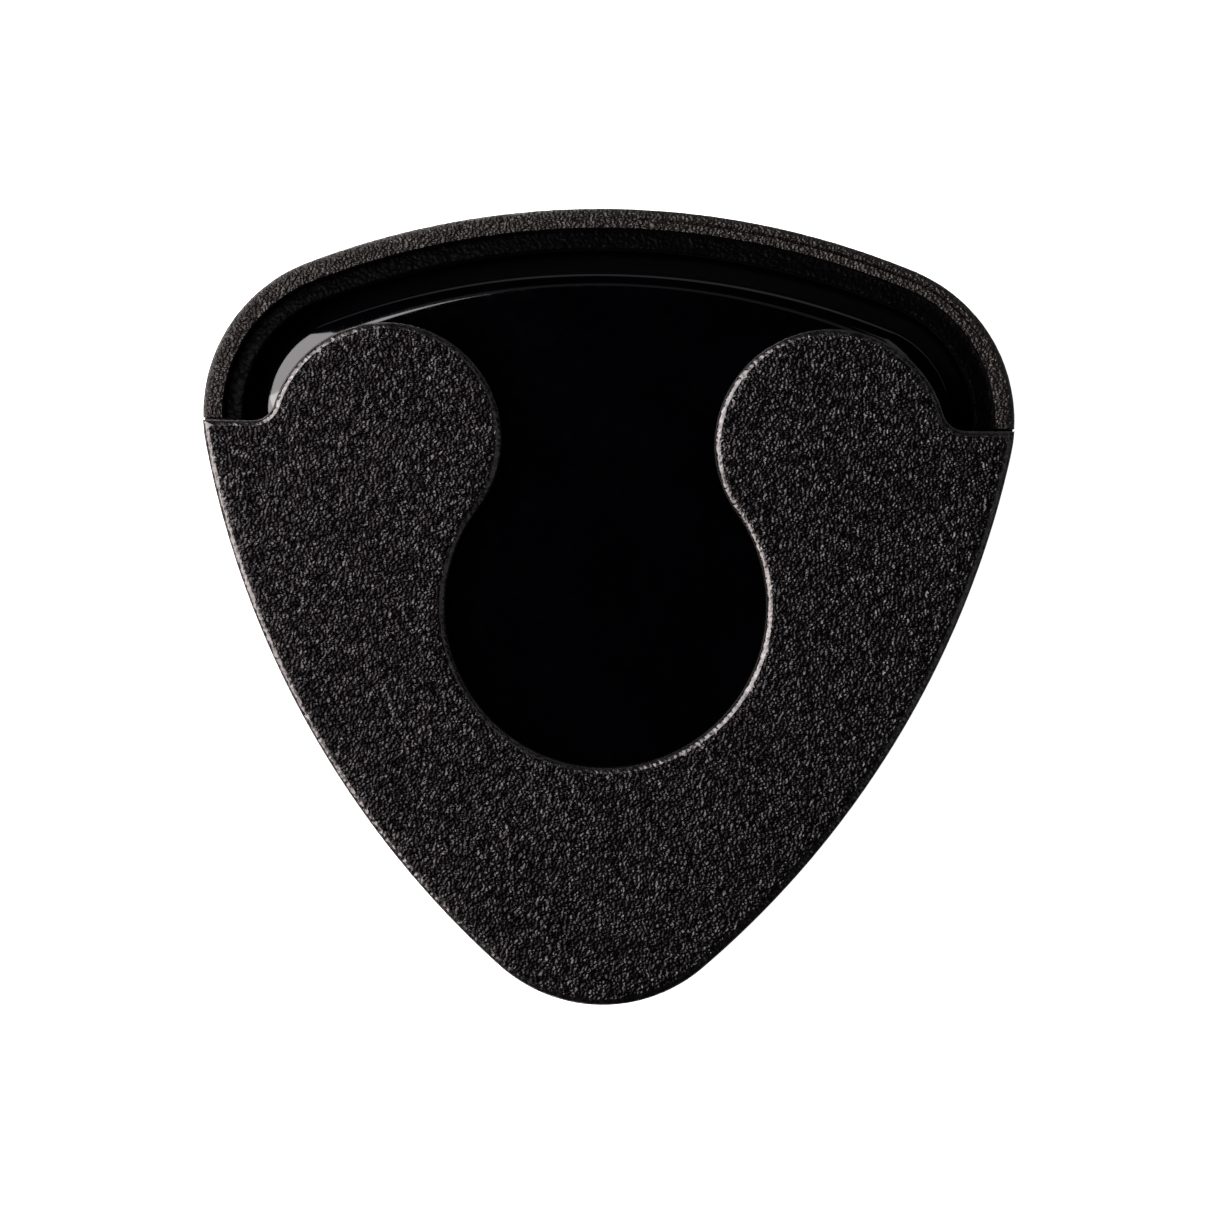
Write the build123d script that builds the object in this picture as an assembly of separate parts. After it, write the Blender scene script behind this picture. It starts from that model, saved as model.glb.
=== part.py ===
from build123d import *
from math import sqrt
import os

# Guitar pick holder, lying on its back. +Z points out of the front, +Y towards
# the open top edge, and Z = 0 is the face that is stuck to the instrument.

# Case outline: a rounded triangle with its tip towards -Y.
HALF_WIDTH = 21.0
HALF_HEIGHT = 20.6
TOP_R = 42.5
SHOULDER_R = 8.35
SIDE_R = 48.5
TIP_R = 8.0

# Heights, from the back to the front.
LINER_T = 0.1
BACK_Z = 0.8
FLOOR_Z = 1.7
PARTING_Z = 3.4
TONGUE_Z = 4.6
RIM_Z = 6.3
UNDERSIDE_Z = 6.7
COVER_Z = 8.2

# Case walls.
RIM_W = 1.1
WALL_W = 2.1
LEDGE_LOW_Z = 5.55
LEDGE_HIGH_Z = 5.85
TONGUE_FROM = 1.2
TONGUE_TO = 1.9
SKIRT_T = 1.1
COVER_STEP = 0.05
RIM_ROUND = 0.35
BACK_CHAMFER = 0.3

# Front cover: thumb cut-out, round tabs and the seam across the sides.
SEAM_Y = 9.35
SEAM_GAP = 0.15
THUMB_R = 8.3
LOBE_X = 11.5
LOBE_Y = 8.5
LOBE_R = 6.0
LOBE_ROOT_R = 1.2
COVER_ROUND = 0.7

# Locating pegs on the cover, in sockets on the case floor.
PEG_R = 1.0
PEG_FIT = 0.02
PEG_END_Z = 1.15
SOCKET_Z = 1.05
BOSS_R = 1.8
BOSS_Z = 2.3
PEG_CHAMFER = 0.25
PEGS = [(-16.4, 4.6), (16.4, 4.6), (0, -16.4)]

# Spring-loaded plate.
PLATE_INSET = 3.27
PLATE_T = 0.95
PLATE_CLEAR = 0.05
BEVEL_W = 0.8
BEVEL_H = 0.35
NOTCH_R = 1.15

# Bowed leaf spring and what holds it in place.
LEAF_Y = 2.0
LEAF_T = 0.2
LEAF_W = 8.0
LEAF_SPAN = 26.0
LEAF_CLEAR = 0.02
FOOT_R = 1.2
LEAF_HOLE_R = 1.2
LEAF_PIN_R = 1.0
LEAF_PIN_H = 0.6
RAIL_H = 0.45
RAIL_T = 0.8
RAIL_L = 29.0
RAIL_GAP = 0.2

# Adhesive pad and its liner.
PAD_INSET = 1.5
LINER_INSET = 1.0

PLATE_TOP_Z = UNDERSIDE_Z - PLATE_CLEAR
PLATE_LOW_Z = PLATE_TOP_Z - PLATE_T
REACH = 2 * HALF_WIDTH

TOP_CENTRE = Vector(0, HALF_HEIGHT - TOP_R)
TIP_CENTRE = Vector(0, TIP_R - HALF_HEIGHT)
SHOULDER_X = HALF_WIDTH - SHOULDER_R
SHOULDER_RISE = sqrt((TOP_R - SHOULDER_R) ** 2 - SHOULDER_X**2)
SHOULDER_CENTRE = Vector(SHOULDER_X, TOP_CENTRE.Y + SHOULDER_RISE)


def side_centre():
    """Centre of the right side's arc, tangent to the shoulder and the tip."""
    to_shoulder = SIDE_R - SHOULDER_R
    to_tip = SIDE_R - TIP_R
    span = SHOULDER_CENTRE - TIP_CENTRE
    along = (to_tip**2 - to_shoulder**2 + span.length**2) / (2 * span.length)
    across = sqrt(to_tip**2 - along**2)
    step = span.normalized()
    return TIP_CENTRE + step * along + Vector(-step.Y, step.X) * across


def arc(centre, radius, start, end):
    """Arc about a centre, between two directions."""
    first = start.normalized()
    last = end.normalized()
    middle = (first + last).normalized()
    return ThreePointArc(
        centre + first * radius, centre + middle * radius, centre + last * radius
    )


def outline(inset=0.0):
    """The case's plan shape, moved inwards all round."""
    side = side_centre()
    at_shoulder = SHOULDER_CENTRE - TOP_CENTRE
    at_side = SHOULDER_CENTRE - side
    at_tip = TIP_CENTRE - side
    right = [
        arc(SHOULDER_CENTRE, SHOULDER_R - inset, at_shoulder, at_side),
        arc(side, SIDE_R - inset, at_side, at_tip),
    ]
    left = [mirror(edge, about=Plane.YZ) for edge in right]
    top = arc(
        TOP_CENTRE, TOP_R - inset, Vector(-at_shoulder.X, at_shoulder.Y), at_shoulder
    )
    tip = arc(TIP_CENTRE, TIP_R - inset, at_tip, Vector(-at_tip.X, at_tip.Y))
    return make_face([top, *right, tip, *left])


def slab(shape, low, high):
    """A plan shape as a solid between two heights."""
    return extrude(Pos(0, 0, low) * shape, high - low, dir=(0, 0, 1))


def below(y, low, high):
    """Everything on the tip side of a line across the case."""
    plan = Pos(0, y - REACH / 2) * Rectangle(2 * REACH, REACH)
    return slab(plan, low, high)


def shell_room(high):
    """The room inside the shell, with a ledge that slopes down to the foot of the rim."""
    ledge = loft(
        [
            Pos(0, 0, LEDGE_LOW_Z) * outline(RIM_W),
            Pos(0, 0, LEDGE_HIGH_Z) * outline(WALL_W),
        ]
    )
    recess = slab(outline(RIM_W), LEDGE_LOW_Z, high) - ledge
    return recess + slab(outline(WALL_W), FLOOR_Z, high)


def posts(radius, low, high):
    """A round post at each peg position."""
    return [slab(Pos(*at) * Circle(radius), low, high) for at in PEGS]


def rear_shell():
    """Shallow tray: a floor, upright walls, and at the top a high rim with a ledge inside it."""
    shell = slab(outline(), BACK_Z, RIM_Z)
    shell = fillet(shell.edges().group_by(Axis.Z)[-1], RIM_ROUND)
    shell = chamfer(shell.edges().group_by(Axis.Z)[0], BACK_CHAMFER)
    mouth_z = RIM_Z + 1
    shell -= shell_room(mouth_z)
    shell -= below(SEAM_Y + SEAM_GAP, PARTING_Z, mouth_z)
    tongue = slab(outline(TONGUE_FROM) - outline(TONGUE_TO), PARTING_Z, TONGUE_Z)
    shell += tongue & below(SEAM_Y + SEAM_GAP, PARTING_Z, TONGUE_Z)
    for boss in posts(BOSS_R, FLOOR_Z, BOSS_Z):
        shell += boss
    for socket in posts(PEG_R + PEG_FIT, SOCKET_Z, BOSS_Z):
        shell -= socket
    return shell + spring_seat()


def spring_seat():
    """Low fence on the floor that keeps the leaf spring in place."""
    inner_w = LEAF_W + 2 * RAIL_GAP
    outer = Rectangle(RAIL_L, inner_w + 2 * RAIL_T)
    inner = Rectangle(RAIL_L - 2 * RAIL_T, inner_w)
    return slab(Pos(0, LEAF_Y) * (outer - inner), FLOOR_Z, FLOOR_Z + RAIL_H)


def cover_plan():
    """Plan shape of the cover: two round tabs around a thumb cut-out."""
    plan = outline(COVER_STEP)
    plan &= Pos(0, SEAM_Y - REACH / 2) * Rectangle(2 * REACH, REACH)
    neck = make_face(
        Polyline(
            (0, 0),
            (LOBE_X, LOBE_Y),
            (LOBE_X, SEAM_Y + 1),
            (-LOBE_X, SEAM_Y + 1),
            (-LOBE_X, LOBE_Y),
            close=True,
        )
    )
    plan -= neck
    for side in (-1, 1):
        plan += Pos(side * LOBE_X, LOBE_Y) * Circle(LOBE_R)
        plan += lobe_root(side)
    return plan - Circle(THUMB_R)


def lobe_root(side):
    """Hollow curve that joins a tab's outer side to the seam."""
    centre_y = SEAM_Y + LOBE_ROOT_R
    away = sqrt((LOBE_R + LOBE_ROOT_R) ** 2 - (centre_y - LOBE_Y) ** 2)
    centre_x = LOBE_X + away
    web = make_face(
        Polyline(
            (side * LOBE_X, SEAM_Y - 1),
            (side * LOBE_X, LOBE_Y),
            (side * centre_x, centre_y),
            (side * centre_x, SEAM_Y - 1),
            close=True,
        )
    )
    return web - Pos(side * centre_x, centre_y) * Circle(LOBE_ROOT_R)


def front_cover():
    """Textured front with a skirt that closes the lower part of the case."""
    low = PARTING_Z + COVER_STEP
    cover = slab(cover_plan(), low, COVER_Z)
    cover = fillet(cover.edges().group_by(Axis.Z)[-1], COVER_ROUND)
    cover -= slab(outline(COVER_STEP + SKIRT_T), low, UNDERSIDE_Z)
    for peg in posts(PEG_R, PEG_END_Z, UNDERSIDE_Z):
        cover += chamfer(peg.edges().group_by(Axis.Z)[0], PEG_CHAMFER)
    return cover


def pressure_plate():
    """Bevelled plate that the picks are pressed against from behind."""
    bevel_z = PLATE_TOP_Z - BEVEL_H
    plate = slab(outline(PLATE_INSET), PLATE_LOW_Z, bevel_z)
    plate += loft(
        [
            Pos(0, 0, bevel_z) * outline(PLATE_INSET),
            Pos(0, 0, PLATE_TOP_Z) * outline(PLATE_INSET + BEVEL_W),
        ]
    )
    for x, y in PEGS:
        away = Vector(x, y - LEAF_Y).normalized() * 2 * PLATE_INSET
        plate -= slab(peg_notch(Vector(x, y), away), PLATE_LOW_Z, PLATE_TOP_Z)
    pin = Pos(0, LEAF_Y) * Circle(LEAF_PIN_R)
    return plate + slab(pin, PLATE_LOW_Z - LEAF_PIN_H, PLATE_LOW_Z)


def peg_notch(at, away):
    """Round-bottomed notch around a peg, open at the plate's edge."""
    across = Vector(-away.Y, away.X).normalized() * NOTCH_R
    throat = make_face(
        Polyline(at + across, at + across + away, at - across + away, at - across, close=True)
    )
    return throat + Pos(at.X, at.Y) * Circle(NOTCH_R)


def leaf_spring():
    """Bowed strip with turned-up feet and a locating hole at its crown."""
    crown_z = PLATE_LOW_Z - LEAF_CLEAR
    foot_z = FLOOR_Z + LEAF_CLEAR + LEAF_T / 2
    rise = crown_z - LEAF_T / 2 - foot_z
    half = LEAF_SPAN / 2 - FOOT_R
    bow_r = (half**2 + rise**2) / (2 * rise) - FOOT_R
    bow_centre = Vector(0, crown_z - LEAF_T / 2 - bow_r)
    foot_centre = Vector(half, foot_z + FOOT_R)
    way = (foot_centre - bow_centre).normalized()
    touch = bow_centre + way * bow_r
    bow = ThreePointArc((-touch.X, touch.Y), (0, bow_centre.Y + bow_r), touch)
    foot = arc(foot_centre, FOOT_R, -way, Vector(1, -1))
    line = Curve() + [mirror(foot, about=Plane.YZ), bow, foot]
    strip = trace(line, LEAF_T)
    leaf = extrude(Plane.XZ * strip, LEAF_W / 2, both=True)
    hole = slab(Circle(LEAF_HOLE_R), 0, COVER_Z)
    return Pos(0, LEAF_Y) * (leaf - hole)


def adhesive_pad():
    """Foam tape between the case and the instrument."""
    return slab(outline(PAD_INSET), LINER_T, BACK_Z)


def release_liner():
    """Paper that covers the pad's adhesive until it is peeled off."""
    return slab(outline(LINER_INSET), 0, LINER_T)


SUBPARTS = [
    rear_shell,
    front_cover,
    pressure_plate,
    leaf_spring,
    adhesive_pad,
    release_liner,
]

os.makedirs("parts", exist_ok=True)
for make in SUBPARTS:
    export_step(make(), f"parts/{make.__name__}.step")
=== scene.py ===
import math

import bpy
import numpy as np
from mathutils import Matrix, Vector, kdtree, noise
from mathutils.geometry import delaunay_2d_cdt


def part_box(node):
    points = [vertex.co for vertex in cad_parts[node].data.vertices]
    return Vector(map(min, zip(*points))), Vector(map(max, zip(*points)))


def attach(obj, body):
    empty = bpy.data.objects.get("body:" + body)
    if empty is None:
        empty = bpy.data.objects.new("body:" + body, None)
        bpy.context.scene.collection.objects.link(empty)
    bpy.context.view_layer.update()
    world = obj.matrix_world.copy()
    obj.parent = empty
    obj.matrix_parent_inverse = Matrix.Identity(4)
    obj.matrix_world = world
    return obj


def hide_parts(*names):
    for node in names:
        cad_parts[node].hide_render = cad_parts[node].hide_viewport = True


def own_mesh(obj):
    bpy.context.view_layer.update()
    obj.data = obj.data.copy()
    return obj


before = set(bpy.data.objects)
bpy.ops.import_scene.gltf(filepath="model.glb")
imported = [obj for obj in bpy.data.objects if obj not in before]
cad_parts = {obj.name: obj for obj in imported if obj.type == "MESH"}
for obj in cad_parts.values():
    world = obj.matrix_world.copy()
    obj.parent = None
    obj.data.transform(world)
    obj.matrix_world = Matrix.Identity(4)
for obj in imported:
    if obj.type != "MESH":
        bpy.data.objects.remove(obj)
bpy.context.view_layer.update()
MM = 0.001

# ---------------------------------------------------------------- shape data
# All sizes are in millimetres. Insets are measured in from the case's outline.
# Radii of the outline's arcs, then of the cover's cut-out and its two round tabs.
TOP_R, SHOULDER_R, SIDE_R, TIP_R = 42.5, 8.35, 48.5, 8.0
THUMB_R, LOBE_R, LOBE_ROOT_R = 8.3, 6.0, 1.2
LOBE = (11.5, 8.5)
SEAM_Y, SEAM_GAP = 9.35, 0.15
PEGS = ((-16.4, 4.6), (16.4, 4.6), (0.0, -16.4))
PEG_R, SOCKET_R, BOSS_R, NOTCH_R = 1.0, 1.02, 1.8, 1.15


def levels(node):
    """Lowest and highest corner of a CAD node, in millimetres."""
    low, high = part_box(node)
    return [v / MM for v in low], [v / MM for v in high]


SHELL_LOW, SHELL_HIGH = levels("rear_shell")
COVER_LOW, COVER_HIGH = levels("front_cover")
PLATE_LOW, PLATE_HIGH = levels("pressure_plate")
LEAF_LOW, LEAF_HIGH = levels("leaf_spring")
PAD_LOW, PAD_HIGH = levels("adhesive_pad")
LINER_LOW, LINER_HIGH = levels("release_liner")
HALF_W, HALF_H = SHELL_HIGH[0], SHELL_HIGH[1]

FLOOR_T, COVER_T, PLATE_T = 0.9, 1.5, 0.95
BACK_Z, RIM_Z = SHELL_LOW[2], SHELL_HIGH[2]
FLOOR_Z, PARTING_Z, TONGUE_Z = BACK_Z + FLOOR_T, 3.4, 4.6
COVER_Z, UNDERSIDE_Z = COVER_HIGH[2], COVER_HIGH[2] - COVER_T
PLATE_Z, PLATE_UNDER_Z = PLATE_HIGH[2], PLATE_HIGH[2] - PLATE_T
RIM_W, WALL_W = 1.1, 2.1
LEDGE_LOW_Z, LEDGE_HIGH_Z = 5.55, 5.85
TONGUE_OUT, TONGUE_IN = 1.2, 1.9
COVER_STEP, SKIRT_T = 0.05, 1.1
COVER_ROUND, COVER_DROP, RIM_ROUND, BACK_CHAMFER = 0.60, 0.22, 0.35, 0.3
LEAF_Y, LEAF_W, LEAF_T, LEAF_SPAN = 2.0, 8.0, 0.2, 26.0
FOOT_R, LEAF_HOLE_R = 1.2, 1.2
FENCE_HALF_X, FENCE_HALF_Y, FENCE_T, FENCE_H = 14.5, 5.0, 0.8, 0.45
# How far a cutting solid reaches past what it cuts; half the width of a cutting block, its top.
PAST, BEYOND, ABOVE_Z = 1.0, 30.0, 12.0


def outline_arcs():
    """The outline as (centre, radius, from, to), counter-clockwise from the right shoulder."""
    top = Vector((0, HALF_H - TOP_R))
    tip = Vector((0, TIP_R - HALF_H))
    x = HALF_W - SHOULDER_R
    shoulder = Vector((x, top.y + math.sqrt((TOP_R - SHOULDER_R) ** 2 - x * x)))
    span = shoulder - tip
    to_shoulder, to_tip = SIDE_R - SHOULDER_R, SIDE_R - TIP_R
    along = (to_tip**2 - to_shoulder**2 + span.length_squared) / (2 * span.length)
    across = math.sqrt(to_tip**2 - along**2)
    step = span.normalized()
    side = tip + step * along + Vector((-step.y, step.x)) * across
    a = math.atan2(shoulder.y - side.y, shoulder.x - side.x)
    b = math.atan2(shoulder.y - top.y, shoulder.x - top.x)
    c = math.atan2(tip.y - side.y, tip.x - side.x)
    flip = lambda p: Vector((-p.x, p.y))
    return [
        (shoulder, SHOULDER_R, a, b),
        (top, TOP_R, b, math.pi - b),
        (flip(shoulder), SHOULDER_R, math.pi - b, math.pi - a),
        (flip(side), SIDE_R, math.pi - a, math.pi - c),
        (tip, TIP_R, math.pi - c, 2 * math.pi + c),
        (side, SIDE_R, 2 * math.pi + c, 2 * math.pi + a),
    ]


ARCS = outline_arcs()


def ring_frame(step):
    """Points round the outline as (centre, radius, direction), about step apart."""
    found = []
    for centre, radius, start, end in ARCS:
        n = max(3, round(radius * (end - start) / step))
        for i in range(n):
            found.append((centre, radius, start + (end - start) * i / n))
    return found


def ring(frame_points, inset, z):
    """One closed loop of 3-D points, moved in from the outline."""
    return [
        (
            c.x + (r - inset) * math.cos(t),
            c.y + (r - inset) * math.sin(t),
            z(t) if callable(z) else z,
        )
        for c, r, t in frame_points
    ]


# ------------------------------------------------------------- mesh building
def make_object(name, points, faces, materials=(), face_material=None):
    """A mesh object from points in millimetres, all its faces with one material."""
    mesh = bpy.data.meshes.new(name)
    mesh.from_pydata([tuple(c * MM for c in p) for p in points], [], faces)
    mesh.validate()
    for m in materials:
        mesh.materials.append(m)
    if face_material is not None:
        mesh.polygons.foreach_set("material_index", [face_material] * len(mesh.polygons))
    mesh.update()
    obj = bpy.data.objects.new(name, mesh)
    bpy.context.scene.collection.objects.link(obj)
    return obj


def lathe(name, loops, materials=(), face_material=None):
    """A closed solid from loops of equal length, bottom first, capped at both ends."""
    n = len(loops[0])
    points = [p for loop in loops for p in loop]
    faces = []
    for k in range(len(loops) - 1):
        for i in range(n):
            j = (i + 1) % n
            a, b = k * n, (k + 1) * n
            faces.append((a + i, a + j, b + j, b + i))
    faces.append(tuple(reversed(range(n))))
    last = (len(loops) - 1) * n
    faces.append(tuple(range(last, last + n)))
    return make_object(name, points, faces, materials, face_material)


def block(name, low, high, materials=(), face_material=None):
    """A box between two corners."""
    corners = ((low[0], low[1]), (high[0], low[1]), (high[0], high[1]), (low[0], high[1]))
    loops = [[(x, y, z) for x, y in corners] for z in (low[2], high[2])]
    return lathe(name, loops, materials, face_material)


def post(name, at, profile, materials=(), face_material=None, sides=48):
    """A round post from (radius, height) pairs, bottom first."""
    loops = []
    for radius, z in profile:
        loops.append(
            [
                (at[0] + radius * math.cos(t), at[1] + radius * math.sin(t), z)
                for t in (2 * math.pi * i / sides for i in range(sides))
            ]
        )
    return lathe(name, loops, materials, face_material)


def combine(obj, steps):
    """Applies (operation, other) booleans to obj in turn and removes the others."""
    for operation, other in steps:
        modifier = obj.modifiers.new("cut", "BOOLEAN")
        modifier.operation = operation
        modifier.object = other
        modifier.solver = "MANIFOLD"
        graph = bpy.context.evaluated_depsgraph_get()
        mesh = bpy.data.meshes.new_from_object(obj.evaluated_get(graph), depsgraph=graph)
        obj.modifiers.clear()
        obj.data = mesh
        bpy.data.objects.remove(other)
    return obj


def smooth(obj, angle=40):
    """Smooth shading, kept sharp where faces meet at more than the angle in degrees."""
    obj.data.shade_smooth()
    obj.data.set_sharp_from_angle(angle=math.radians(angle))


def grain(p, seed):
    """Height of the eroded texture at a point in millimetres, from about -1 to 1."""
    coarse = noise.noise(Vector((p[0] * 2.1 + seed, p[1] * 2.1, p[2] * 2.1)))
    fine = noise.noise(Vector((p[0] * 4.3, p[1] * 4.3 + seed, p[2] * 4.3)))
    return 0.55 * coarse + 0.9 * fine


CALM = 0.3


def roughen(obj, depth, flat_z, seed=0.0):
    """Moves every vertex along its normal by the texture's height, less below flat_z."""
    mesh = obj.data
    normals = np.zeros(len(mesh.vertices) * 3, np.float32)
    mesh.vertices.foreach_get("normal", normals)
    places = np.zeros(len(mesh.vertices) * 3, np.float32)
    mesh.vertices.foreach_get("co", places)
    places, normals = places.reshape(-1, 3), normals.reshape(-1, 3)
    lift = np.array([grain(p, seed) for p in places / MM]) * depth * MM
    lift *= np.where(places[:, 2] < flat_z * MM, CALM, 1.0)
    mesh.vertices.foreach_set("co", (places + normals * lift[:, None]).ravel())
    mesh.update()


# ----------------------------------------------------------------- materials
def new_material(name):
    """A node material, with its tree, its shader and the place in the piece's own axes."""
    material = bpy.data.materials.new(name)
    material.use_nodes = True
    tree = material.node_tree
    shader = tree.nodes["Principled BSDF"]
    where = tree.nodes.new("ShaderNodeTexCoord").outputs["Object"]
    return material, tree, shader, where


def noise_node(tree, where, scale, detail=2.0, rough=0.5):
    node = tree.nodes.new("ShaderNodeTexNoise")
    node.inputs["Scale"].default_value = scale
    node.inputs["Detail"].default_value = detail
    node.inputs["Roughness"].default_value = rough
    tree.links.new(where, node.inputs["Vector"])
    return node.outputs["Fac"]


def ramp_node(tree, value, stops):
    """A colour from (value, colour) pairs in rising order."""
    node = tree.nodes.new("ShaderNodeValToRGB")
    node.color_ramp.elements[0].position, node.color_ramp.elements[1].position = (
        stops[0][0],
        stops[-1][0],
    )
    node.color_ramp.elements[0].color = (*stops[0][1], 1)
    node.color_ramp.elements[1].color = (*stops[-1][1], 1)
    for at, colour in stops[1:-1]:
        node.color_ramp.elements.new(at).color = (*colour, 1)
    tree.links.new(value, node.inputs["Fac"])
    return node.outputs["Color"]


def range_node(tree, value, low, high, from_low=0.3, from_high=0.7):
    """The value stretched to run from low to high."""
    node = tree.nodes.new("ShaderNodeMapRange")
    node.inputs["From Min"].default_value = from_low
    node.inputs["From Max"].default_value = from_high
    node.inputs["To Min"].default_value = low
    node.inputs["To Max"].default_value = high
    tree.links.new(value, node.inputs["Value"])
    return node.outputs["Result"]


def math_node(tree, operation, a, b):
    node = tree.nodes.new("ShaderNodeMath")
    node.operation = operation
    for socket, value in zip(node.inputs, (a, b)):
        if isinstance(value, (int, float)):
            socket.default_value = value
        else:
            tree.links.new(value, socket)
    return node.outputs["Value"]


def bump_node(tree, height, distance):
    node = tree.nodes.new("ShaderNodeBump")
    node.inputs["Distance"].default_value = distance
    node.inputs["Strength"].default_value = 1.0
    tree.links.new(height, node.inputs["Height"])
    return node.outputs["Normal"]


def stretched(tree, where, scale, turn=0.0):
    """The same place with its axes scaled, and turned round Z, for marks that run one way."""
    node = tree.nodes.new("ShaderNodeMapping")
    node.inputs["Scale"].default_value = scale
    node.inputs["Rotation"].default_value = (0, 0, turn)
    tree.links.new(where, node.inputs["Vector"])
    return node.outputs["Vector"]


def voronoi_node(tree, where, scale, smoothness=None):
    node = tree.nodes.new("ShaderNodeTexVoronoi")
    node.inputs["Scale"].default_value = scale
    if smoothness is not None:
        node.feature = "SMOOTH_F1"
        node.inputs["Smoothness"].default_value = smoothness
    tree.links.new(where, node.inputs["Vector"])
    return node.outputs


def blend(tree, a, b, share):
    """The first value's share and the rest of the second."""
    first = math_node(tree, "MULTIPLY", a, share)
    return math_node(tree, "ADD", first, math_node(tree, "MULTIPLY", b, 1 - share))


def turned(tree, where):
    """The same place in turned axes, so that noise shows no grid on flat faces."""
    node = tree.nodes.new("ShaderNodeMapping")
    node.inputs["Rotation"].default_value = (0.7, 0.45, 0.3)
    tree.links.new(where, node.inputs["Vector"])
    return node.outputs["Vector"]


def eroded_plastic(name, scale, depth, shine, colours, tints, rough):
    """Black moulding plastic with a fine spark-eroded texture."""
    material, tree, shader, where = new_material(name)
    where = turned(tree, where)
    pits = voronoi_node(tree, where, scale * 0.96, smoothness=0.3)
    pitted = math_node(tree, "MULTIPLY", pits["Distance"], 0.3)
    height = math_node(tree, "ADD", pitted, noise_node(tree, where, scale, 0))
    tree.links.new(bump_node(tree, height, depth), shader.inputs["Normal"])
    cloud = noise_node(tree, where, 900, 4, 0.6)
    colour = ramp_node(tree, cloud, [(0.3, colours[0]), (0.7, colours[1])])
    tree.links.new(colour, shader.inputs["Base Color"])
    tint = ramp_node(tree, noise_node(tree, where, 3000, 0), list(zip((0.25, 0.5, 0.75), tints)))
    tree.links.new(tint, shader.inputs["Specular Tint"])
    shader.inputs["Specular IOR Level"].default_value = shine
    roughness = range_node(tree, noise_node(tree, where, 4200, 2), *rough)
    tree.links.new(roughness, shader.inputs["Roughness"])
    return material


def polished_plastic():
    """The same plastic where the mould was polished, with a little dust on it."""
    material, tree, shader, where = new_material("polished_plastic")
    colour = ramp_node(
        tree,
        noise_node(tree, where, 260, 3),
        [(0.3, (0.0001, 0.0001, 0.0003)), (0.7, (0.0003, 0.0003, 0.0006))],
    )
    grains = voronoi_node(tree, turned(tree, where), 420)
    chosen = range_node(tree, grains["Color"], 0, 1, 0.80, 0.84)
    speck = range_node(tree, grains["Distance"], 1, 0, 0.012, 0.028)
    dust = math_node(tree, "MULTIPLY", chosen, speck)
    mix = tree.nodes.new("ShaderNodeMix")
    mix.data_type = "RGBA"
    tree.links.new(dust, mix.inputs["Factor"])
    tree.links.new(colour, mix.inputs["A"])
    mix.inputs["B"].default_value = (0.05, 0.05, 0.055, 1)
    tree.links.new(mix.outputs["Result"], shader.inputs["Base Color"])
    rough = range_node(tree, noise_node(tree, where, 1400, 4, 0.65), 0.04, 0.10)
    shader.inputs["Specular IOR Level"].default_value = 0.33
    tree.links.new(rough, shader.inputs["Roughness"])
    normal = bump_node(tree, noise_node(tree, where, 420, 2), 0.000004)
    tree.links.new(normal, shader.inputs["Normal"])
    return material


def satin_plastic():
    """The plastic inside the case: dull, with marks that run round the wall."""
    material, tree, shader, where = new_material("satin_plastic")
    marks = noise_node(tree, stretched(tree, where, (0.06, 0.06, 1.0)), 2600, 3, 0.6)
    dark, pale = (0.0006, 0.0006, 0.0007), (0.0022, 0.0020, 0.0022)
    colour = ramp_node(tree, marks, [(0.3, dark), (0.7, pale)])
    tree.links.new(colour, shader.inputs["Base Color"])
    tree.links.new(range_node(tree, marks, 0.30, 0.52), shader.inputs["Roughness"])
    shader.inputs["Specular IOR Level"].default_value = 0.2
    tree.links.new(bump_node(tree, marks, 0.00002), shader.inputs["Normal"])
    return material


def shaded_cavity_plastic():
    """The case's deep floor: the same plastic, dull, with a darker colour than the inside walls as
    painted shade.
    """
    material, tree, shader, where = new_material("shaded_cavity_plastic")
    cloud = noise_node(tree, where, 700, 3)
    dark, pale = (0.0002, 0.0002, 0.0002), (0.0006, 0.0005, 0.0006)
    colour = ramp_node(tree, cloud, [(0.3, dark), (0.7, pale)])
    tree.links.new(colour, shader.inputs["Base Color"])
    tree.links.new(range_node(tree, cloud, 0.45, 0.60), shader.inputs["Roughness"])
    shader.inputs["Specular IOR Level"].default_value = 0.03
    return material


COVER_SKIN = eroded_plastic(
    "cover_eroded_plastic",
    scale=7000,
    depth=0.00010,
    shine=0.30,
    colours=((0.0006, 0.0005, 0.0006), (0.0014, 0.0012, 0.0014)),
    tints=((0.07, 0.06, 0.07), (0.31, 0.28, 0.31), (1.0, 0.95, 0.99)),
    rough=(0.13, 0.32),
)
SHELL_SKIN = eroded_plastic(
    "shell_eroded_plastic",
    scale=7200,
    depth=0.00014,
    shine=0.34,
    colours=((0.0024, 0.0020, 0.0019), (0.0048, 0.0040, 0.0038)),
    tints=((0.45, 0.40, 0.39), (0.78, 0.70, 0.68), (1.0, 0.93, 0.91)),
    rough=(0.30, 0.44),
)
POLISHED = polished_plastic()
SATIN = satin_plastic()
EDGE_SKIN = eroded_plastic(
    "cover_edge_plastic",
    scale=5000,
    depth=0.00003,
    shine=0.75,
    colours=((0.0008, 0.0007, 0.0007), (0.0018, 0.0016, 0.0017)),
    tints=((0.60, 0.56, 0.57), (0.85, 0.80, 0.80), (1.0, 0.96, 0.95)),
    rough=(0.18, 0.30),
)
LEDGE_SKIN = eroded_plastic(
    "ledge_plastic",
    scale=5200,
    depth=0.00007,
    shine=0.02,
    colours=((0.0003, 0.0003, 0.0003), (0.0010, 0.0009, 0.0009)),
    tints=((0.30, 0.28, 0.30), (0.60, 0.56, 0.58), (1.0, 0.93, 0.95)),
    rough=(0.34, 0.50),
)
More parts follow.
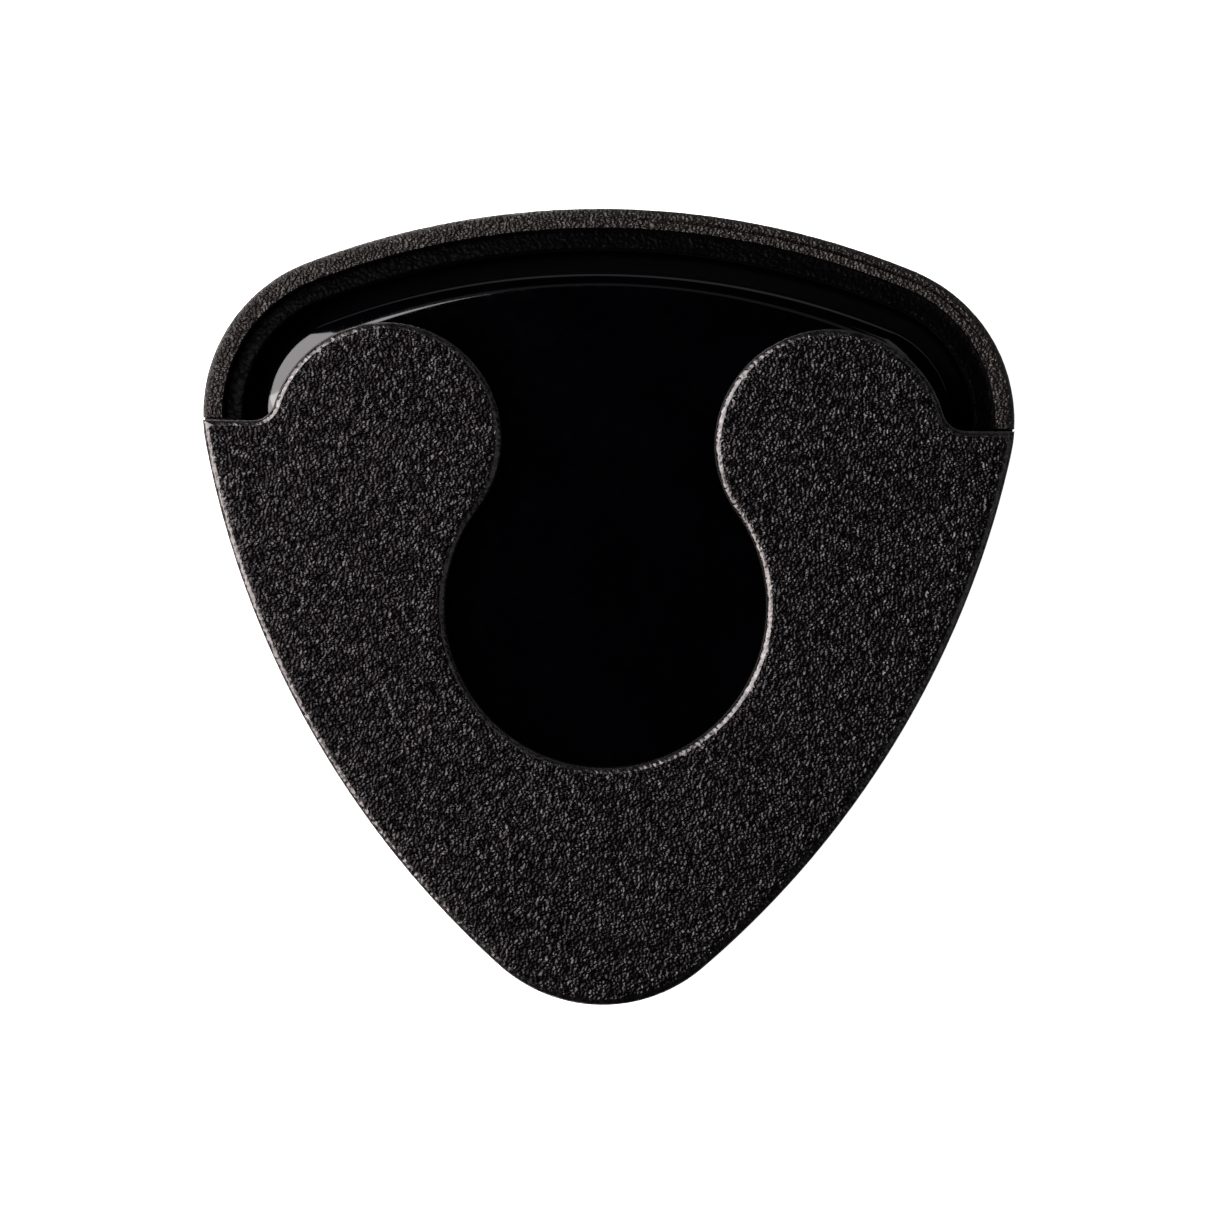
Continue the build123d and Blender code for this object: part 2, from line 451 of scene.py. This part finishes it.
# Places in the lists of materials that follow.
OUTSIDE, INSIDE, EDGE, SHADED_CAVITY, LEDGE = 0, 1, 2, 2, 3
COVER_FINISH = (COVER_SKIN, SATIN, EDGE_SKIN)
# The shell's deep floor gets a darker copy of its inside plastic: painted shade.
SHELL_FINISH = (SHELL_SKIN, SATIN, shaded_cavity_plastic(), LEDGE_SKIN)

# ---------------------------------------------------------------- rear shell
STEP = 0.15
COARSE_STEP, FINE_STEP, WALL_STEP = 0.35, 0.03, 0.2
# The fine line moulded into the rim: its inset, half its width, and its depth.
LINE_AT, LINE_HALF_W, LINE_DEPTH = 0.5, 0.085, 0.12


def room_profile():
    """Inset and height up the inside of the shell: wall, sloping ledge, rim."""
    corner, lip, edge = 0.35, 0.12, 0.14
    slope = math.atan2(LEDGE_HIGH_Z - LEDGE_LOW_Z, WALL_W - RIM_W)
    profile = []
    for i in range(5):
        t = math.pi / 2 * i / 4
        inset = WALL_W + corner * (1 - math.sin(t))
        profile.append((inset, FLOOR_Z + corner * (1 - math.cos(t))))
    for z in (PARTING_Z, 4.2, 5.0):
        profile.append((WALL_W, z))
    centre_z = LEDGE_HIGH_Z - edge * (math.tan(slope) + 1 / math.cos(slope))
    for i in range(5):
        t = (math.pi / 2 + slope) * i / 4
        profile.append((WALL_W - edge + edge * math.cos(t), centre_z + edge * math.sin(t)))
    for inset in (1.8, 1.5, RIM_W + 0.08):
        profile.append((inset, LEDGE_LOW_Z + (inset - RIM_W) * math.tan(slope)))
    profile += [
        (RIM_W + 0.02, LEDGE_LOW_Z + 0.04),
        (RIM_W, LEDGE_LOW_Z + 0.1),
        (RIM_W, RIM_Z - lip),
    ]
    for i in range(1, 4):
        t = math.pi / 2 * i / 3
        profile.append((RIM_W - lip * (1 - math.cos(t)), RIM_Z - lip * (1 - math.sin(t))))
    return profile + [(RIM_W - lip, RIM_Z + PAST)]


def rim_line(inset):
    """Height of the rim, with a fine line moulded into its right part, at an inset."""
    start, end, fade_in, fade_out = 26, 98, 16, 20

    def z(t):
        turn = math.degrees((t + math.pi / 2) % (2 * math.pi)) - 90
        along = max(0.0, min(1.0, (turn - start) / fade_in, (end - turn) / fade_out))
        across = max(0.0, 1 - abs(inset - LINE_AT) / LINE_HALF_W)
        return RIM_Z - LINE_DEPTH * along * across

    return z


def shell_outside():
    """The shell's textured outside as a closed solid, from the back edge to the rim."""
    around = ring_frame(STEP)
    wall_foot, wall_top = BACK_Z + BACK_CHAMFER, RIM_Z - RIM_ROUND
    loops = [ring(around, BACK_CHAMFER, BACK_Z), ring(around, 0.0, wall_foot)]
    rows = round((wall_top - wall_foot) / WALL_STEP)
    for i in range(1, rows + 1):
        loops.append(ring(around, 0.0, wall_foot + (wall_top - wall_foot) * i / rows))
    for i in range(1, 5):
        t = math.pi / 2 * i / 4
        inset = RIM_ROUND * (1 - math.cos(t))
        loops.append(ring(around, inset, wall_top + RIM_ROUND * math.sin(t)))
    insets = [LINE_AT + step for step in (-LINE_HALF_W, -0.04, 0, 0.04, LINE_HALF_W)]
    while insets[-1] < RIM_W + 0.3:
        insets.append(insets[-1] + STEP)
    loops += [ring(around, inset, rim_line(inset)) for inset in insets]
    shell = lathe("rear_shell_body", loops, SHELL_FINISH, OUTSIDE)
    roughen(shell, depth=0.010, flat_z=0.0, seed=3.7)
    return shell


def shell_inside(name, insets_and_heights):
    """A solid for the inside of the shell, from insets and heights, bottom first."""
    wide = ring_frame(COARSE_STEP)
    loops = [ring(wide, inset, z) for inset, z in insets_and_heights]
    return lathe(name, loops, SHELL_FINISH, INSIDE)


def shell_block(name, low, high):
    """A box for the inside of the shell, between two corners."""
    return block(name, low, high, SHELL_FINISH, INSIDE)


def shell_tongue(keep_y):
    """The low wall at the parting line that the cover's skirt fits round."""
    outer = [(TONGUE_OUT, PARTING_Z - 0.2), (TONGUE_OUT, TONGUE_Z)]
    inner = [(TONGUE_IN, PARTING_Z - PAST), (TONGUE_IN, TONGUE_Z + PAST)]
    end = shell_block("tongue_end", (-BEYOND, keep_y, 0), (BEYOND, BEYOND, ABOVE_Z))
    tongue = shell_inside("tongue", outer)
    steps = [("DIFFERENCE", shell_inside("tongue_in", inner)), ("DIFFERENCE", end)]
    return combine(tongue, steps)


def leaf_fence():
    """The low frame on the floor that keeps the leaf spring in place."""
    x, y, t = FENCE_HALF_X, FENCE_HALF_Y, FENCE_T
    outer = ((-x, LEAF_Y - y, FLOOR_Z - 0.2), (x, LEAF_Y + y, FLOOR_Z + FENCE_H))
    inner = ((t - x, LEAF_Y + t - y, 0), (x - t, LEAF_Y + y - t, ABOVE_Z))
    fence = shell_block("fence", *outer)
    return combine(fence, [("DIFFERENCE", shell_block("fence_in", *inner))])


def rear_shell():
    shell = shell_outside()
    keep_y = SEAM_Y + SEAM_GAP
    cavity = shell_inside("cavity", room_profile())
    for face in cavity.data.polygons:
        # Faces below the parting line get the darker floor plastic: painted shade.
        if face.center.z < PARTING_Z * MM:
            face.material_index = SHADED_CAVITY
        elif face.normal.z < -0.5:
            face.material_index = LEDGE
    lower = ((-BEYOND, -BEYOND, PARTING_Z), (BEYOND, keep_y, ABOVE_Z))
    steps = [("DIFFERENCE", cavity), ("DIFFERENCE", shell_block("lower", *lower))]
    steps.append(("UNION", shell_tongue(keep_y)))
    boss = ((BOSS_R, FLOOR_Z - 0.3), (BOSS_R, FLOOR_Z + 0.5), (BOSS_R - 0.1, FLOOR_Z + 0.6))
    socket = ((SOCKET_R, BACK_Z + 0.25), (SOCKET_R, FLOOR_Z + PAST))
    for at in PEGS:
        steps.append(("UNION", post("boss", at, boss, SHELL_FINISH, INSIDE)))
    for at in PEGS:
        steps.append(("DIFFERENCE", post("socket", at, socket, SHELL_FINISH, INSIDE)))
    steps.append(("UNION", leaf_fence()))
    shell = combine(shell, steps)
    smooth(shell)
    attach(shell, "case")
    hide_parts("rear_shell")
    return shell


# --------------------------------------------------------------- front cover
def arc_run(centre, radius, start, end, step, outward):
    """Points and outward normals along an arc, without its last point."""
    n = max(2, round(abs(end - start) * radius / step))
    found = []
    for i in range(n):
        t = start + (end - start) * i / n
        u = (math.cos(t), math.sin(t))
        at = (centre[0] + radius * u[0], centre[1] + radius * u[1])
        found.append((at, (u[0] * outward, u[1] * outward)))
    return found


def line_run(a, b, normal, step):
    """Points and outward normals along a straight edge, without its last point."""
    n = max(2, round(math.dist(a, b) / step))
    return [
        ((a[0] + (b[0] - a[0]) * i / n, a[1] + (b[1] - a[1]) * i / n), normal)
        for i in range(n)
    ]


def cover_boundary(step):
    """The cover's plan, counter-clockwise from the right end of the seam."""
    shoulder, radius, _, _ = ARCS[0]
    r = radius - COVER_STEP
    seam_angle = math.asin((SEAM_Y - shoulder.y) / r)
    seam_x = shoulder.x + r * math.cos(seam_angle)
    root_y = SEAM_Y + LOBE_ROOT_R
    reach = math.sqrt((LOBE_R + LOBE_ROOT_R) ** 2 - (root_y - LOBE[1]) ** 2)
    root_x = LOBE[0] + reach
    up = math.atan2(root_y - LOBE[1], reach)
    down = math.atan2(LOBE[1], LOBE[0])
    half = math.pi / 2
    run = line_run((seam_x, SEAM_Y), (root_x, SEAM_Y), (0, 1), step)
    run += arc_run((root_x, root_y), LOBE_ROOT_R, -half, -math.pi + up, step, -1)
    run += arc_run(LOBE, LOBE_R, up, math.pi + down, step, 1)
    run += arc_run((0, 0), THUMB_R, down, -math.pi - down, step, -1)
    run += arc_run((-LOBE[0], LOBE[1]), LOBE_R, -down, math.pi - up, step, 1)
    run += arc_run((-root_x, root_y), LOBE_ROOT_R, -up, -half, step, -1)
    run += line_run((-root_x, SEAM_Y), (-seam_x, SEAM_Y), (0, 1), step)
    centre, _, _, end = ARCS[2]
    run += arc_run(centre, r, math.pi - seam_angle, end, step, 1)
    for centre, radius, start, end in ARCS[3:]:
        run += arc_run(centre, radius - COVER_STEP, start, end, step, 1)
    centre, _, start, _ = ARCS[0]
    run += arc_run(centre, r, start, seam_angle, step, 1)
    return run


def inside(points, polygon):
    """Which of the points lie inside the polygon."""
    x, y = points[:, 0], points[:, 1]
    found = np.zeros(len(points), bool)
    for (x0, y0), (x1, y1) in zip(polygon, np.roll(polygon, -1, axis=0)):
        crosses = (y0 > y) != (y1 > y)
        if y0 != y1:
            found ^= crosses & (x < (x1 - x0) * (y - y0) / (y1 - y0) + x0)
    return found


def cover_blank():
    """The cover's outside as a closed solid: rounded top face and full-height walls."""
    run = cover_boundary(STEP)
    edge = np.array([p for p, _ in run])
    normals = np.array([n for _, n in run])
    dense = np.array([p for p, _ in cover_boundary(FINE_STEP)])
    tree = kdtree.KDTree(len(dense))
    for i, p in enumerate(dense):
        tree.insert((p[0], p[1], 0), i)
    tree.balance()
    depth = lambda p: tree.find((p[0], p[1], 0))[2]

    plan, drop = [tuple(p) for p in edge], [COVER_DROP] * len(edge)
    rows = 6
    for k in range(1, rows + 1):
        t = math.pi / 2 * k / rows
        d = COVER_ROUND * (1 - math.cos(t))
        for p, n in zip(edge, normals):
            q = (p[0] - n[0] * d, p[1] - n[1] * d)
            if depth(q) > 0.96 * d:
                plan.append(q)
                drop.append(COVER_DROP * (1 - math.sin(t)))
    rise = STEP * math.sqrt(3) / 2
    low, high = edge.min(0), edge.max(0)
    spots = []
    for j in range(int((high[1] - low[1]) / rise) + 1):
        shift = STEP / 2 * (j % 2)
        for i in range(int((high[0] - low[0]) / STEP) + 1):
            spots.append((low[0] + shift + i * STEP, low[1] + j * rise))
    spots = np.array(spots)
    for p in spots[inside(spots, edge)]:
        if depth(p) > COVER_ROUND + 0.45 * STEP:
            plan.append((float(p[0]), float(p[1])))
            drop.append(0.0)

    n = len(edge)
    loop = [(i, (i + 1) % n) for i in range(n)]
    flat = [Vector(p) for p in plan]
    made, _, faces, sources, _, _ = delaunay_2d_cdt(flat, loop, [], 1, 1e-5)
    heights = [COVER_Z - drop[s[0]] if s else COVER_Z for s in sources]
    where = {s[0]: i for i, s in enumerate(sources) if s}
    points = [(p.x, p.y, z) for p, z in zip(made, heights)]
    faces = [tuple(f) for f in faces]
    rim = [where[i] for i in range(n)]
    top, bottom = COVER_Z - COVER_DROP, PARTING_Z + COVER_STEP
    rows = round((top - bottom) / WALL_STEP)
    above = rim
    for k in range(1, rows + 1):
        z = top + (bottom - top) * k / rows
        first = len(points)
        points += [(p[0], p[1], z) for p in edge]
        level = list(range(first, first + n))
        for i in range(n):
            j = (i + 1) % n
            faces.append((level[i], level[j], above[j], above[i]))
        above = level
    faces.append(tuple(reversed(above)))
    return make_object("front_cover_body", points, faces, COVER_FINISH, OUTSIDE)


def front_cover():
    cover = cover_blank()
    roughen(cover, 0.014, COVER_Z - 0.03)
    for face in cover.data.polygons:
        if COVER_Z - COVER_DROP < face.center.z / MM < COVER_Z - 0.025:
            face.material_index = EDGE
    wide = ring_frame(0.4)
    inset = COVER_STEP + SKIRT_T
    loops = [ring(wide, inset, z) for z in (PARTING_Z - PAST, UNDERSIDE_Z)]
    steps = [("DIFFERENCE", lathe("hollow", loops, COVER_FINISH, INSIDE))]
    foot, lead = COVER_LOW[2], 0.25
    peg = ((PEG_R - lead, foot), (PEG_R, foot + lead), (PEG_R, UNDERSIDE_Z + 0.4))
    for at in PEGS:
        steps.append(("UNION", post("peg", at, peg, COVER_FINISH, INSIDE)))
    cover = combine(cover, steps)
    smooth(cover)
    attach(cover, "case")
    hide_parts("front_cover")
    return cover


# ------------------------------------------------------------ pressure plate
def plate_edge(t):
    """Width and radius of the plate's rounded edge at a place round the outline."""
    t = (t + math.pi / 2) % (2 * math.pi) - math.pi / 2
    shoulders, spread = (math.radians(33), math.radians(147)), 0.55
    corner = sum(math.exp(-(((t - at) / spread) ** 2)) for at in shoulders)
    return 0.80 + 1.05 * corner, 1.08 + 3.0 * corner


def plate_top(depth):
    """Height of the plate's top as a function of place, at a depth in from its edge."""

    def z(t):
        width, radius = plate_edge(t)
        rest = max(0.0, width - depth)
        return PLATE_Z - radius + math.sqrt(radius * radius - rest * rest)

    return z


def pressure_plate():
    around = ring_frame(0.2)
    edge = HALF_W - PLATE_HIGH[0]
    round_under, round_top, bevel = 0.15, 0.12, math.radians(40)
    loops = [
        ring(around, edge + round_under, PLATE_UNDER_Z),
        ring(around, edge, PLATE_UNDER_Z + round_under),
    ]
    inner = round_top * (1 - math.sin(bevel))
    for i in range(7):
        t = (math.pi / 2 - bevel) * i / 6
        fall = round_top * (math.cos(bevel) - math.sin(t))
        inset = edge + round_top * (1 - math.cos(t))
        loops.append(ring(around, inset, lambda a: plate_top(inner)(a) - fall))
    depth = inner
    while depth < 2.6:
        depth += 0.07 if depth < 1.6 else 0.2
        loops.append(ring(around, edge + depth, plate_top(depth)))
    loops.append(ring(around, edge + 4.0, PLATE_Z))
    plate = lathe("pressure_plate_body", loops, (POLISHED,), 0)
    steps = []
    low, high = PLATE_UNDER_Z - PAST, PLATE_Z + PAST
    notch = ((NOTCH_R, low), (NOTCH_R, high))
    reach = 6
    for x, y in PEGS:
        away = Vector((x, y - LEAF_Y)).normalized()
        across = Vector((-away.y, away.x)) * NOTCH_R
        ways = ((-1, 0), (1, 0), (1, reach), (-1, reach))
        mouth = [Vector((x, y)) + across * s + away * d for s, d in ways]
        area = sum(a.x * b.y - b.x * a.y for a, b in zip(mouth, mouth[1:] + mouth[:1]))
        if area < 0:
            mouth.reverse()
        slot = [[(p.x, p.y, z) for p in mouth] for z in (low, high)]
        steps.append(("DIFFERENCE", lathe("notch_mouth", slot, (POLISHED,), 0)))
        steps.append(("DIFFERENCE", post("notch", (x, y), notch, (POLISHED,), 0)))
    foot, lead = PLATE_LOW[2], 0.15
    pin = ((PEG_R - lead, foot), (PEG_R, foot + lead), (PEG_R, PLATE_UNDER_Z + 0.3))
    steps.append(("UNION", post("pin", (0, LEAF_Y), pin, (POLISHED,), 0)))
    plate = combine(plate, steps)
    smooth(plate, 50)
    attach(plate, "plate")
    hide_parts("pressure_plate")
    return plate


# --------------------------------------------------------------- leaf spring
def brushed_steel():
    """Rolled spring strip: fine lines along its length and a straw tint."""
    material, tree, shader, where = new_material("brushed_steel")
    lines = noise_node(tree, stretched(tree, where, (0.03, 1.0, 1.0)), 9000, 3, 0.6)
    cloud = noise_node(tree, where, 320, 3)
    colour = ramp_node(
        tree,
        blend(tree, lines, cloud, 0.5),
        [(0.35, (0.40, 0.40, 0.41)), (0.5, (0.56, 0.55, 0.54)), (0.65, (0.66, 0.64, 0.60))],
    )
    tree.links.new(colour, shader.inputs["Base Color"])
    shader.inputs["Metallic"].default_value = 1.0
    tree.links.new(range_node(tree, lines, 0.22, 0.42), shader.inputs["Roughness"])
    tree.links.new(bump_node(tree, lines, 0.000008), shader.inputs["Normal"])
    return material


def leaf_path():
    """Middle line of the bowed strip in X and Z, with normals, from foot to foot."""
    half, foot_r, thickness = LEAF_SPAN / 2 - FOOT_R, FOOT_R, LEAF_T
    crown = LEAF_HIGH[2] - thickness / 2
    foot_z = LEAF_LOW[2] + thickness / 2
    rise = crown - foot_z
    bow_r = (half**2 + rise**2) / (2 * rise) - foot_r
    bow = Vector((0, crown - bow_r))
    foot = Vector((half, foot_z + foot_r))
    lean = math.atan2(foot.y - bow.y, foot.x - bow.x)
    right = []
    for i in range(49):
        t = math.pi / 2 + (lean - math.pi / 2) * i / 48
        u = Vector((math.cos(t), math.sin(t)))
        right.append((bow + u * bow_r, u))
    for i in range(1, 15):
        t = lean - math.pi + (math.pi * 0.75 - lean) * i / 14
        u = Vector((math.cos(t), math.sin(t)))
        right.append((foot + u * foot_r, -u))
    mirrored = [(Vector((-p.x, p.y)), Vector((-u.x, u.y))) for p, u in right[:0:-1]]
    return mirrored + right


def leaf_spring():
    edge, half_w, half_t = 0.05, LEAF_W / 2, LEAF_T / 2
    section = [
        (-half_w + edge, -half_t),
        (half_w - edge, -half_t),
        (half_w, -half_t + edge),
        (half_w, half_t - edge),
        (half_w - edge, half_t),
        (-half_w + edge, half_t),
        (-half_w, half_t - edge),
        (-half_w, -half_t + edge),
    ]
    steel = (brushed_steel(),)
    loops = []
    for at, up in leaf_path():
        loops.append([(at.x + up.x * z, LEAF_Y + y, at.y + up.y * z) for y, z in section])
    leaf = lathe("leaf_spring_body", loops, steel, 0)
    hole = ((LEAF_HOLE_R, LEAF_LOW[2] - PAST), (LEAF_HOLE_R, LEAF_HIGH[2] + PAST))
    leaf = combine(leaf, [("DIFFERENCE", post("leaf_hole", (0, LEAF_Y), hole, steel, 0))])
    smooth(leaf, 35)
    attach(leaf, "case")
    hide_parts("leaf_spring")
    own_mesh(leaf)
    return leaf


# ------------------------------------------------------------- adhesive pad
def cell_foam():
    """Closed-cell foam: dark, with small pores, each painted darker toward its bottom as painted
    shade.
    """
    material, tree, shader, where = new_material("cell_foam")
    cells = voronoi_node(tree, turned(tree, where), 4200)["Distance"]
    # The colour follows the pores' depth, darkest at the bottom of each pit: painted shade.
    colour = ramp_node(
        tree,
        cells,
        [(0.05, (0.012, 0.012, 0.013)), (0.35, (0.035, 0.035, 0.037)), (0.7, (0.06, 0.06, 0.062))],
    )
    tree.links.new(colour, shader.inputs["Base Color"])
    rough = range_node(tree, noise_node(tree, where, 1500, 3), 0.75, 0.95)
    tree.links.new(rough, shader.inputs["Roughness"])
    tree.links.new(bump_node(tree, cells, 0.00012), shader.inputs["Normal"])
    return material


def adhesive_pad():
    """The foam pad, with sides that bulge a little and show its cells."""
    around = ring_frame(STEP)
    inset = HALF_W - PAD_HIGH[0] + 0.06
    low, high = PAD_LOW[2], PAD_HIGH[2]
    rows, loops = 7, []
    for i in range(rows + 1):
        share = i / rows
        bulge = 0.10 * (1 - (2 * share - 1) ** 2)
        loops.append(ring(around, inset - bulge, low + (high - low) * share))
    for step in (0.3, 0.8, 2.0):
        loops.append(ring(around, inset + step, high))
        loops.insert(0, ring(around, inset + step, low))
    pad = lathe("adhesive_pad_body", loops, (cell_foam(),), 0)
    for v in pad.data.vertices:
        height = (v.co.z / MM - low) / (high - low)
        if 0.05 < height < 0.95:
            way = Vector((v.co.x, v.co.y, 0)).normalized()
            p = v.co / MM
            v.co += way * (0.05 * MM * noise.noise(Vector((p.x * 3.3, p.y * 3.3, p.z * 5.0))))
    smooth(pad, 50)
    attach(pad, "case")
    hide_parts("adhesive_pad")
    return pad


# ------------------------------------------------------------ release liner
def liner_paper():
    """Silicone-coated kraft paper: tan, with soft fibres and a slight shine."""
    material, tree, shader, where = new_material("liner_paper")
    fibres = noise_node(tree, stretched(tree, where, (0.25, 1.0, 1.0), turn=0.5), 2600, 5, 0.7)
    mixed = blend(tree, fibres, noise_node(tree, where, 140, 3), 0.6)
    colour = ramp_node(
        tree,
        mixed,
        [(0.35, (0.25, 0.19, 0.11)), (0.5, (0.34, 0.265, 0.165)), (0.65, (0.42, 0.34, 0.22))],
    )
    tree.links.new(colour, shader.inputs["Base Color"])
    tree.links.new(range_node(tree, fibres, 0.30, 0.50), shader.inputs["Roughness"])
    tree.links.new(bump_node(tree, mixed, 0.00002), shader.inputs["Normal"])
    return material


def release_liner():
    """The paper under the pad, with a wavy slit in its lower face to start the peel."""
    around = ring_frame(0.2)
    inset = HALF_W - LINER_HIGH[0]
    low, high = LINER_LOW[2], LINER_HIGH[2]
    burr = 0.015
    loops = [
        ring(around, inset + 2.0, low),
        ring(around, inset + burr, low),
        ring(around, inset, low + burr),
        ring(around, inset, high - burr),
        ring(around, inset + burr, high),
        ring(around, inset + 2.0, high),
    ]
    paper = (liner_paper(),)
    liner = lathe("release_liner_body", loops, paper, 0)
    slit_y, half, wave, width, depth = -4.0, 24.0, 1.2, 0.12, 0.05
    steps, steps_per_wave = 96, 24
    centre = []
    for i in range(steps + 1):
        y = slit_y + wave * math.sin(2 * math.pi * i / steps_per_wave)
        centre.append((-half + 2 * half * i / steps, y))
    upper = [(x, y + width / 2) for x, y in centre]
    lower = [(x, y - width / 2) for x, y in centre]
    slit = lower + upper[::-1]
    loops = [[(x, y, z) for x, y in slit] for z in (low - PAST, low + depth)]
    groove = lathe("slit", loops, paper, 0)
    liner = combine(liner, [("DIFFERENCE", groove)])
    smooth(liner, 30)
    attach(liner, "liner")
    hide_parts("release_liner")
    return liner


rear_shell()
front_cover()
pressure_plate()
leaf_spring()
adhesive_pad()
release_liner()

# --------------------------------------------------------------------- stage
HALF_FLOOR, FLOOR_SPLIT, FLOOR_DROP = 1500, -3.0, 0.02


def floor(name, low_x, high_x, mirrored):
    """One part of the pale floor. Only a mirrored part shows in glossy surfaces."""
    low_y, high_y = -HALF_FLOOR, HALF_FLOOR
    corners = [(low_x, low_y, 0), (high_x, low_y, 0), (high_x, high_y, 0), (low_x, high_y, 0)]
    obj = make_object(name, corners, [(0, 1, 2, 3)])
    obj.location.z = -FLOOR_DROP * MM
    material, _, shader, _ = new_material("pale_" + name)
    shader.inputs["Base Color"].default_value = (0.9, 0.9, 0.9, 1)
    shader.inputs["Roughness"].default_value = 0.9
    shader.inputs["Emission Color"].default_value = (1, 1, 1, 1)
    shader.inputs["Emission Strength"].default_value = 1.0
    obj.data.materials.append(material)
    obj.visible_glossy = mirrored


def softbox(name, direction, distance, size, power, colour):
    """An area light in a direction from the object, facing it, in metres and watts."""
    data = bpy.data.lights.new(name, "AREA")
    data.shape = "RECTANGLE"
    data.size, data.size_y = size
    data.energy = power
    data.color = colour
    obj = bpy.data.objects.new(name, data)
    at = Vector(direction).normalized()
    obj.location = at * distance
    obj.rotation_euler = at.to_track_quat("Z", "Y").to_euler()
    bpy.context.scene.collection.objects.link(obj)


def surround():
    """A dim room with a paler band at eye level."""
    world = bpy.data.worlds.new("studio")
    world.use_nodes = True
    tree = world.node_tree
    shader = tree.nodes["Background"]
    where = tree.nodes.new("ShaderNodeTexCoord").outputs["Generated"]
    split = tree.nodes.new("ShaderNodeSeparateXYZ")
    tree.links.new(where, split.inputs["Vector"])
    stops = [
        (0.0, (0.35, 0.35, 0.35)),
        (0.05, (0.13, 0.13, 0.13)),
        (0.16, (0.03, 0.03, 0.03)),
        (0.32, (0.004, 0.004, 0.005)),
    ]
    band = ramp_node(tree, split.outputs["Z"], stops)
    tree.links.new(band, shader.inputs["Color"])
    shader.inputs["Strength"].default_value = 1.0
    bpy.context.scene.world = world


def heading(azimuth, elevation):
    """A direction from its bearing from +X and its height above the floor, in degrees."""
    a, e = math.radians(azimuth), math.radians(elevation)
    return math.cos(e) * math.cos(a), math.cos(e) * math.sin(a), math.sin(e)


WHITE = (1, 1, 1)
# Name, bearing and height in degrees, distance, size, power and colour.
LIGHTS = (
    ("key", (148, 55), 0.2, (0.10, 0.15), 0.49, (1.0, 0.97, 0.97)),
    ("window", (188, 43), 0.6, (0.46, 0.28), 4.8, (1.0, 0.94, 0.92)),
    ("back", (73, 24), 0.7, (1.55, 0.12), 0.36, WHITE),
    ("high", (70, 70), 0.6, (0.4, 0.10), 0.03, WHITE),
    ("right", (22, 62), 0.6, (0.5, 0.08), 0.11, WHITE),
    ("fill", (-15, 38), 0.5, (0.25, 0.25), 0.09, WHITE),
)
floor("floor_left", -HALF_FLOOR, FLOOR_SPLIT, True)
floor("floor_right", FLOOR_SPLIT, HALF_FLOOR, False)
surround()
for light, aim, distance, size, power, colour in LIGHTS:
    softbox(light, heading(*aim), distance, size, power, colour)

# -------------------------------------------------------------------- camera
# The camera looks straight down on the cover, whose width of view is set in millimetres.
VIEW_WIDTH, VIEW_CENTRE = 62.59, (0.056, -0.015)
CAMERA_Z, SENSOR_WIDTH, ROLL = 0.62, 36, math.radians(0.85)
camera_data = bpy.data.cameras.new("camera")
camera_data.sensor_width = SENSOR_WIDTH
camera_data.lens = SENSOR_WIDTH * (CAMERA_Z - COVER_Z * MM) / (VIEW_WIDTH * MM)
camera = bpy.data.objects.new("camera", camera_data)
camera.location = (VIEW_CENTRE[0] * MM, VIEW_CENTRE[1] * MM, CAMERA_Z)
camera.rotation_euler = (0, 0, ROLL)
bpy.context.scene.collection.objects.link(camera)
bpy.context.scene.camera = camera
bpy.context.scene.view_settings.view_transform = "Standard"
